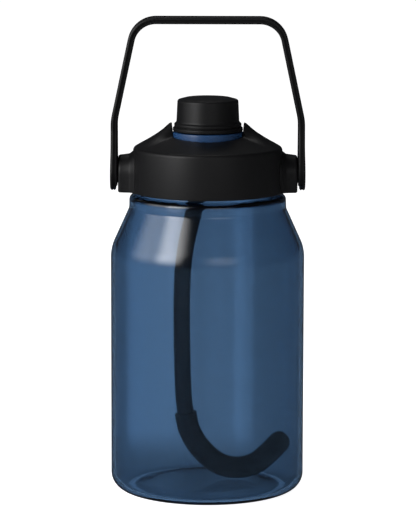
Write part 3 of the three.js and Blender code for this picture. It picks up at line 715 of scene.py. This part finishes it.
cap_cup_bore = spout_thread_r + CLEARANCE
cup_ceiling = [(0, CUP_CEILING_Z), (cap_cup_bore, CUP_CEILING_Z, 0.5), (cap_cup_bore, 250)]
cap_cup_outline = [
    (0, CUP_CEILING_Z),
    *rounded(cup_ceiling)[1:-1],
    *ladder(cap_cup_bore, 250.6, 239.6),
    *rounded(
        [
            (cap_cup_bore, 239.6),
            (cap_cup_bore, CUP_FOOT_Z, 0.3),
            (CUP_R, CUP_FOOT_Z, 0.3),
            (CUP_R, CUP_TOP_Z, 0.6),
            (0, CUP_TOP_Z),
        ]
    )[1:],
]
cup_crest_r = SPOUT_TUBE_R + CLEARANCE
cap_thread = thread(cap_cup_bore, cup_crest_r, SPOUT_PITCH, 242.2, 1.25, *SPOUT_WIDTHS)
cap_cup = object_of("cap_cup", revolved(cap_cup_outline, cap_thread))
finished(cap_cup, "cap", "inner_plastic", INNER, "cap_liner")
ring_piece("cap_seal_ring", "cap_seal", "silicone", SILICONE, 10.3, 15.5, 250.4, 251.9, 0.4, "cap_gasket")

# ---- Handle --------------------------------------------------------------------------------------------

ARM_OUTER_X, ARM_THICKNESS = 62.6, 4.5
PADDLE_R, PADDLE_TOP_Z, HANDLE_WIDTH = 11.5, 236, 15
HANDLE_TOP_Z, KINK_Z, KINK_R, GRIP_CORNER_R = 308.6, 242, 30, 18.5
LEAN_DEGREES = 12  # of the arms, inwards
LEAN = math.radians(LEAN_DEGREES)
EDGE = 1.5  # rounding of the bar's rim
BAND_START = 14  # length over which the paddle's outline eases into the straight band
FIRST_ANGLE = 0.03  # keeps the paddle's first ring open
HUB_TIP_R, HUB_R = 7.4, 9.6
SOCKET_END_X, HUB_END_X = 61.3, 60


def bail_path():
    """Middle line of the bail in X and Z, from the foot of the left arm's paddle to the right one's."""
    middle = ARM_THICKNESS / 2
    corner_z = HANDLE_TOP_Z - GRIP_CORNER_R
    distance = ARM_OUTER_X * math.cos(LEAN) + KINK_Z * math.sin(LEAN)
    corner_x = (distance - GRIP_CORNER_R - corner_z * math.sin(LEAN)) / math.cos(LEAN)
    kink_z = KINK_Z - KINK_R * math.tan(LEAN / 2)
    foot_z = PIVOT_Z - PADDLE_R
    right = [(ARM_OUTER_X - middle, foot_z + i * (kink_z - foot_z) / 40) for i in range(40)]
    right += arc(ARM_OUTER_X - KINK_R, kink_z, KINK_R - middle, 0, LEAN_DEGREES, 8)
    right += arc(corner_x, corner_z, GRIP_CORNER_R - middle, LEAN_DEGREES, 90, 28)
    return [(-x, z) for x, z in right] + [(x, z) for x, z in reversed(right)]


class Line:
    """A line through 2-D points that can be read at a length along it."""

    def __init__(self, points):
        self.points = [Vector(p) for p in points]
        self.at = [0.0]
        for here, there in zip(self.points, self.points[1:]):
            self.at.append(self.at[-1] + (there - here).length)
        self.length = self.at[-1]

    def place(self, s):
        s = min(max(s, 0), self.length)
        i = next(i for i in range(1, len(self.at)) if self.at[i] >= s - 1e-9)
        share = (s - self.at[i - 1]) / max(1e-9, self.at[i] - self.at[i - 1])
        return self.points[i - 1].lerp(self.points[i], share)

    def heading(self, s, reach=1.5):
        return (self.place(s + reach) - self.place(s - reach)).normalized()


def plate_outline(middle_s):
    """Half the bar's outline as (s, half width), from a paddle's foot to the middle of the grip."""
    half_band = HANDLE_WIDTH / 2
    reach = PADDLE_TOP_Z - PIVOT_Z
    tangent = math.atan2(reach, half_band) - math.acos(PADDLE_R / math.hypot(half_band, reach))
    sweep = math.pi / 2 + tangent - FIRST_ANGLE
    outline = []
    for i in range(25):
        angle = FIRST_ANGLE + sweep * i / 24
        outline.append(Vector((PADDLE_R - PADDLE_R * math.cos(angle), PADDLE_R * math.sin(angle))))
    leave_s, leave_half = outline[-1]
    top_s = PADDLE_R + reach
    band_s = top_s + BAND_START
    for i in range(1, 25):
        s = leave_s + (band_s - leave_s) * i / 24
        eased = min(1, (s - leave_s) / (top_s - leave_s))
        outline.append(Vector((s, leave_half + (half_band - leave_half) * eased)))
    count = 70
    for i in range(1, count + 1):
        outline.append(Vector((band_s + (middle_s - band_s) * i / count, half_band)))
    return outline


def inward_normals(outline):
    """Unit vectors across the outline, towards the bar's middle line."""
    normals = []
    for i, here in enumerate(outline):
        before = outline[i - 1] if i else Vector((here.x, -here.y))
        after = outline[i + 1] if i + 1 < len(outline) else here + Vector((1, 0))
        ahead = (after - before).normalized()
        normals.append(Vector((ahead.y, -ahead.x)))
    return normals


def plate_ring(path, edge_point, inward, from_far_end):
    """One section across the bar at a point of its outline: a thin web between two thick round rims.

    The section crosses itself just inside each rim, so the bar isn't a clean closed solid.
    """
    bends = [math.pi / 2 * k / 6 for k in range(7)]
    rim = [
        (edge_point + inward * EDGE * (1 - math.sin(bend)), EDGE * (1 - math.cos(bend))) for bend in bends
    ]
    upper = [(point, 1, depth) for point, depth in reversed(rim)]
    lower = [(point, -1, depth) for point, depth in rim]
    ring = []
    for point, face, depth in upper + lower:
        s = path.length - point.x if from_far_end else point.x
        swell = 0.4 * smooth((PADDLE_TOP_Z - 8 - PIVOT_Z + PADDLE_R - point.x) / 22)
        inset = smooth((PADDLE_R - 7.2 - point.x) / 1.6)
        out = ARM_THICKNESS / 2 + (swell if face > 0 else -inset)
        centre, ahead = path.place(s), path.heading(s)
        spot = centre + Vector((-ahead.y, ahead.x)) * face * (out - depth)
        ring.append((spot.x, point.y, spot.y))
    return ring + [(x, -y, z) for x, y, z in reversed(ring)]


def handle_plate():
    """The bail: a flat bar bent along its path, its outline a paddle at each end, its rim thick and round."""
    path = Line(bail_path())
    outline = plate_outline(path.length / 2)
    stations = list(zip(outline, inward_normals(outline)))
    rings = [plate_ring(path, point, inward, False) for point, inward in stations]
    rings += [plate_ring(path, point, inward, True) for point, inward in reversed(stations[:-1])]
    return solid(rings, False)


handle = object_of("handle", handle_plate())
hub_outline = [
    (0, EAR_X + 0.3),
    (HUB_TIP_R, EAR_X + 0.3),
    (HUB_R, ARM_OUTER_X - ARM_THICKNESS + 0.3),
    (HUB_R, HUB_END_X),
    (0, HUB_END_X),
]
socket_outline = [(0, EAR_X), (PIN_BORE_R, EAR_X), (PIN_BORE_R, SOCKET_END_X), (0, SOCKET_END_X)]


combined(handle, *[on_pivot(hub_outline, 64, side) for side in (1, -1)])
combined(handle, *[on_pivot(socket_outline, 32, side) for side in (1, -1)], operation="DIFFERENCE")
finished(handle, "handle", "black_plastic", BLACK, "handle_bail", crease=40)

PIN_R, PIN_HEAD_R, PIN_HEAD_X, PIN_STEM_X, PIN_TIP_X = 3, 5.2, 52, 53.7, 61
WASHER_BORE_R, WASHER_R, WASHER_X, WASHER_OUTER_X = 3.4, 7.7, 56.9, 57.7
pin_corners = [
    (0, PIN_HEAD_X),
    (PIN_HEAD_R, PIN_HEAD_X, 0.8),
    (PIN_HEAD_R, PIN_STEM_X, 0.3),
    (PIN_R, PIN_STEM_X, 0.2),
    (PIN_R, PIN_TIP_X, 0.6),
    (0, PIN_TIP_X),
]
washer_corners = [
    (WASHER_BORE_R, WASHER_X, 0.2),
    (WASHER_R, WASHER_X, 0.2),
    (WASHER_R, WASHER_OUTER_X, 0.2),
    (WASHER_BORE_R, WASHER_OUTER_X, 0.2),
]
for side, word in ((1, "right"), (-1, "left")):
    pin = object_of(f"pin_{word}", on_pivot(rounded(pin_corners, 4), 48, side))
    finished(pin, "handle", "inner_plastic", INNER, f"pivot_pin_{word}")
    washer = object_of(f"washer_{word}", on_pivot(rounded(washer_corners, 3), 64, side))
    finished(washer, "lid", "silicone", SILICONE, f"pivot_washer_{word}")

# ---- Straw ---------------------------------------------------------------------------------------------

STRAW_R, STRAW_BORE_R, STRAW_LENGTH, STRAW_CHAMFER = 5.4, 3.9, 190, 0.3
SLEEVE_R, SLEEVE_BORE_R, TIP_BORE_R, SLEEVE_OVERLAP = 7.15, 4.2, 2.1, 18
SLEEVE_FIT = 0.3  # clearance round the straw and beyond its end
# The straw's middle line in X and Z, from the connector down to the sleeve's nose.
STRAW_ROUTE = [
    (0, 219.5),
    (0, 216),
    (0, 212.5),
    (-1.7, 205.5),
    (-4.9, 196.5),
    (-8.2, 185.2),
    (-11, 173.5),
    (-13.8, 160.7),
    (-15.7, 147.2),
    (-16.5, 133.4),
    (-16.7, 111),
    (-16.3, 85),
    (-15.5, 62),
    (-14.3, 51),
    (-11.4, 37.6),
    (-3.4, 24.7),
    (8.4, 15.2),
    (20.6, 12.9),
    (32.3, 16.2),
    (41.2, 23.6),
    (47.1, 29.9),
]


def spline(points, steps=12):
    """A smooth line through points (centripetal Catmull-Rom)."""
    points = [Vector(p) for p in points]
    padded = [points[0] * 2 - points[1], *points, points[-1] * 2 - points[-2]]
    out = []
    for p0, p1, p2, p3 in zip(padded, padded[1:], padded[2:], padded[3:]):
        t1 = (p1 - p0).length ** 0.5
        t2 = t1 + (p2 - p1).length ** 0.5
        t3 = t2 + (p3 - p2).length ** 0.5
        for i in range(steps):
            t = t1 + (t2 - t1) * i / steps
            a1 = p0 * (t1 - t) / t1 + p1 * t / t1
            a2 = p1 * (t2 - t) / (t2 - t1) + p2 * (t - t1) / (t2 - t1)
            a3 = p2 * (t3 - t) / (t3 - t2) + p3 * (t - t2) / (t3 - t2)
            b1 = a1 * (t2 - t) / t2 + a2 * t / t2
            b2 = a2 * (t3 - t) / (t3 - t1) + a3 * (t - t1) / (t3 - t1)
            out.append(b1 * (t2 - t) / (t2 - t1) + b2 * (t - t1) / (t2 - t1))
    return [*out, points[-1]]


def tube_ring(line, s, radius, beyond=0.0, sides=40):
    """A ring of points round the straw's line at length s, moved beyond its end if asked."""
    at, ahead = line.place(s), line.heading(s)
    at = at + ahead * beyond
    across = Vector((-ahead.y, ahead.x))
    ring = []
    for j in range(sides):
        angle = TURN * j / sides
        spot = at + across * radius * math.cos(angle)
        ring.append((spot.x, radius * math.sin(angle), spot.y))
    return ring


straw_line = Line(spline(STRAW_ROUTE))


def run(from_s, to_s, radius, count):
    """Rings along the straw's line, from one length to another."""
    return [
        tube_ring(straw_line, from_s + (to_s - from_s) * i / count, radius) for i in range(count + 1)
    ]


def straw_tube():
    """The soft tube, its two outer edges chamfered."""
    count = 130
    outer = run(0, STRAW_LENGTH, STRAW_R, count)[1:-1]
    first = tube_ring(straw_line, 0, STRAW_R - STRAW_CHAMFER)
    last = tube_ring(straw_line, STRAW_LENGTH, STRAW_R - STRAW_CHAMFER)
    return solid([first, *outer, last, *run(STRAW_LENGTH, 0, STRAW_BORE_R, count)], True)


def straw_sleeve():
    """The thick end piece: pushed over the tube, with a round nose and a narrow opening in it."""
    start, end = STRAW_LENGTH - SLEEVE_OVERLAP, straw_line.length
    socket_end = STRAW_LENGTH + SLEEVE_FIT
    count = 70
    outer = [tube_ring(straw_line, start, SLEEVE_R - 0.5)]
    outer.append(tube_ring(straw_line, start + 0.15, SLEEVE_R - 0.15))
    outer += run(start + 0.5, end, SLEEVE_R, count)
    last = math.acos((TIP_BORE_R + 0.4) / SLEEVE_R)
    lip = SLEEVE_R * math.sin(last)
    bends = [last * i / 12 for i in range(1, 13)]
    nose = [(SLEEVE_R * math.cos(bend), SLEEVE_R * math.sin(bend)) for bend in bends]
    nose += [(TIP_BORE_R + 0.1, lip + 0.02), (TIP_BORE_R, lip - 0.3), (TIP_BORE_R, 2.2)]
    nose_rings = [tube_ring(straw_line, end, radius, beyond) for radius, beyond in nose]
    bore = run(end, socket_end, SLEEVE_BORE_R, count)
    socket = run(socket_end, start, STRAW_R + SLEEVE_FIT, 16)
    return solid([*outer, *nose_rings, *bore, *socket], True)


finished(object_of("straw", straw_tube()), "straw", "straw", STRAW, "straw_tube")
finished(object_of("sleeve", straw_sleeve()), "straw", "sleeve", SLEEVE, "straw_sleeve")

BARB_HOLE_R, BARB_R, BARB_FOOT_Z, BARB_TOP_Z = 2.4, 3.6, 213.6, 225.9
BARB_FLANGE_R, BARB_FLANGE_Z, BARB_FLANGE_TOP_Z = 7, 219.8, 221.5
SWIVEL_R, SNAP_Z, SNAP_R = 4.2, 224.7, 5.6
connector_outline = rounded(
    [
        (BARB_HOLE_R, BARB_FOOT_Z, 0.2),
        (BARB_R - 0.5, BARB_FOOT_Z, 0.1),
        (BARB_R, BARB_FOOT_Z + 1, 0.2),
        (BARB_R, BARB_FLANGE_Z, 0.1),
        (BARB_FLANGE_R, BARB_FLANGE_Z, 0.3),
        (BARB_FLANGE_R, BARB_FLANGE_TOP_Z, 0.3),
        (SWIVEL_R, BARB_FLANGE_TOP_Z, 0.2),
        (SWIVEL_R, SNAP_Z, 0.1),
        (SNAP_R, SNAP_Z, 0.2),
        (SNAP_R - 0.5, BARB_TOP_Z, 0.2),
        (BARB_HOLE_R, BARB_TOP_Z, 0.2),
    ],
    4,
)
connector = object_of("straw_barb", revolved(connector_outline, sides=64))
finished(connector, "straw", "inner_plastic", INNER, "straw_connector")

# ---- Studio --------------------------------------------------------------------------------------------

# Places and lengths below are in metres.
CAMERA_PLACE, CAMERA_TARGET, CAMERA_ROLL = (0.0003, -2.0514, 0.4754), (0.0003, 0, 0.1505), -0.14
JUG_MIDDLE = (0, 0, 0.17)
FLOOR_HALF = 6

scene = bpy.context.scene
scene.view_settings.view_transform = "Standard"


def aimed(thing, place, target, roll=0.0):
    """Points a camera or light at a target, rolled about its own line of sight."""
    direction = Vector(target) - Vector(place)
    thing.location = place
    thing.rotation_mode = "QUATERNION"
    thing.rotation_quaternion = Quaternion(direction, roll) @ direction.to_track_quat("-Z", "Y")
    return thing


camera = bpy.data.objects.new("camera", bpy.data.cameras.new("camera"))
scene.collection.objects.link(camera)
camera.data.sensor_width = 36
camera.data.lens = 221.5
camera.data.clip_end = 50
aimed(camera, CAMERA_PLACE, CAMERA_TARGET, math.radians(CAMERA_ROLL))
scene.camera = camera

sheet = bmesh.new()
for x, y in ((-1, -1), (1, -1), (1, 1), (-1, 1)):
    sheet.verts.new((x * FLOOR_HALF, y * FLOOR_HALF, 0))
sheet.faces.new(sheet.verts)
floor = object_of("floor", sheet)
floor.visible_glossy = False
floor_material, tree, shader = new_material("floor")
shader.inputs["Base Color"].default_value = (0.85, 0.85, 0.85, 1)
shader.inputs["Roughness"].default_value = 0.9
shader.inputs["Specular IOR Level"].default_value = 0
shader.inputs["Emission Color"].default_value = (1, 1, 1, 1)
shader.inputs["Emission Strength"].default_value = 1.0
floor.data.materials.append(floor_material)


# Profiles of brightness: (place, level) stops across or up a light.
SOFT_EDGES = [(0, 0), (0.42, 1), (0.58, 1), (1, 0)]
EVEN = [(0, 1), (1, 1)]


def level_node(tree, coordinate, stops):
    """A smooth run of brightness levels through (place, level) stops from 0 to 1."""
    level = tree.nodes.new("ShaderNodeValToRGB")
    tree.links.new(coordinate, level.inputs["Fac"])
    ramp = level.color_ramp
    ramp.interpolation = "EASE"
    for stop in stops[1:-1]:
        ramp.elements.new(stop[0])
    for element, (place, brightness) in zip(ramp.elements, stops):
        element.position = place
        element.color = (brightness, brightness, brightness, 1)
    return level.outputs["Color"]


def softbox(name, place, target, width, height, radiance, across=SOFT_EDGES, upwards=SOFT_EDGES):
    """A rectangular light whose brightness follows a profile across its width and one up its height."""
    light = bpy.data.lights.new(name, "AREA")
    light.shape = "RECTANGLE"
    light.size, light.size_y = width, height
    light.energy = radiance * math.pi * width * height
    light.use_nodes = True
    tree = light.node_tree
    spot = tree.nodes.new("ShaderNodeNewGeometry")
    split = tree.nodes.new("ShaderNodeSeparateXYZ")
    product = tree.nodes.new("ShaderNodeMath")
    product.operation = "MULTIPLY"
    tree.links.new(spot.outputs["Parametric"], split.inputs[0])
    tree.links.new(level_node(tree, split.outputs["X"], across), product.inputs[0])
    tree.links.new(level_node(tree, split.outputs["Y"], upwards), product.inputs[1])
    tree.links.new(product.outputs[0], tree.nodes["Emission"].inputs["Strength"])
    lamp = bpy.data.objects.new(name, light)
    scene.collection.objects.link(lamp)
    lamp.visible_camera = False
    lamp.visible_transmission = False
    return aimed(lamp, place, target)


softbox("key_left", (-1.5, -1.32, 1.05), JUG_MIDDLE, width=1.7, height=2.3, radiance=8.5)
softbox("fill_left", (-2.15, -0.5, 1.0), JUG_MIDDLE, width=3.0, height=2.2, radiance=2.4)
softbox("fill_front", (0.7, -2.3, 0.9), JUG_MIDDLE, width=2.4, height=1.5, radiance=1.1)
softbox("top", (-0.15, 0.8, 1.9), (0, 0, 0.2), 0.8, 0.8, 2.0, across=EVEN, upwards=EVEN)

# A panel that only shows through the bottle, for the light and dark bands across it. Its stops run from
# its right side, +X, to its left, and it adds to what is seen of the floor behind it.
BANDS = [
    (0, 0),
    (0.24, 0),
    (0.275, 0.1),
    (0.311, 0.85),
    (0.356, 1.28),
    (0.401, 0.75),
    (0.46, 0.7),
    (0.536, 0.48),
    (0.58, 0.6),
    (0.67, 1.3),
    (0.76, 1.4),
    (0.82, 1.7),
    (0.86, 1.75),
    (0.9, 0.5),
    (1, 0.3),
]
LOW_FADE = [(0, 0), (0.1, 1), (1, 1)]
PANEL_PLACE, PANEL_TARGET = (0, 0.075, 0.125), (0, 0, 0.125)
backlight = softbox("backlight", PANEL_PLACE, PANEL_TARGET, 0.15, 0.25, 1, BANDS, LOW_FADE)
backlight.visible_transmission = True
backlight.visible_glossy = False
backlight.visible_diffuse = False

world = bpy.data.worlds.new("studio")
scene.world = world
world.use_nodes = True
backdrop = world.node_tree.nodes["Background"]
backdrop.inputs["Color"].default_value = (0.03, 0.032, 0.036, 1)
backdrop.inputs["Strength"].default_value = 1
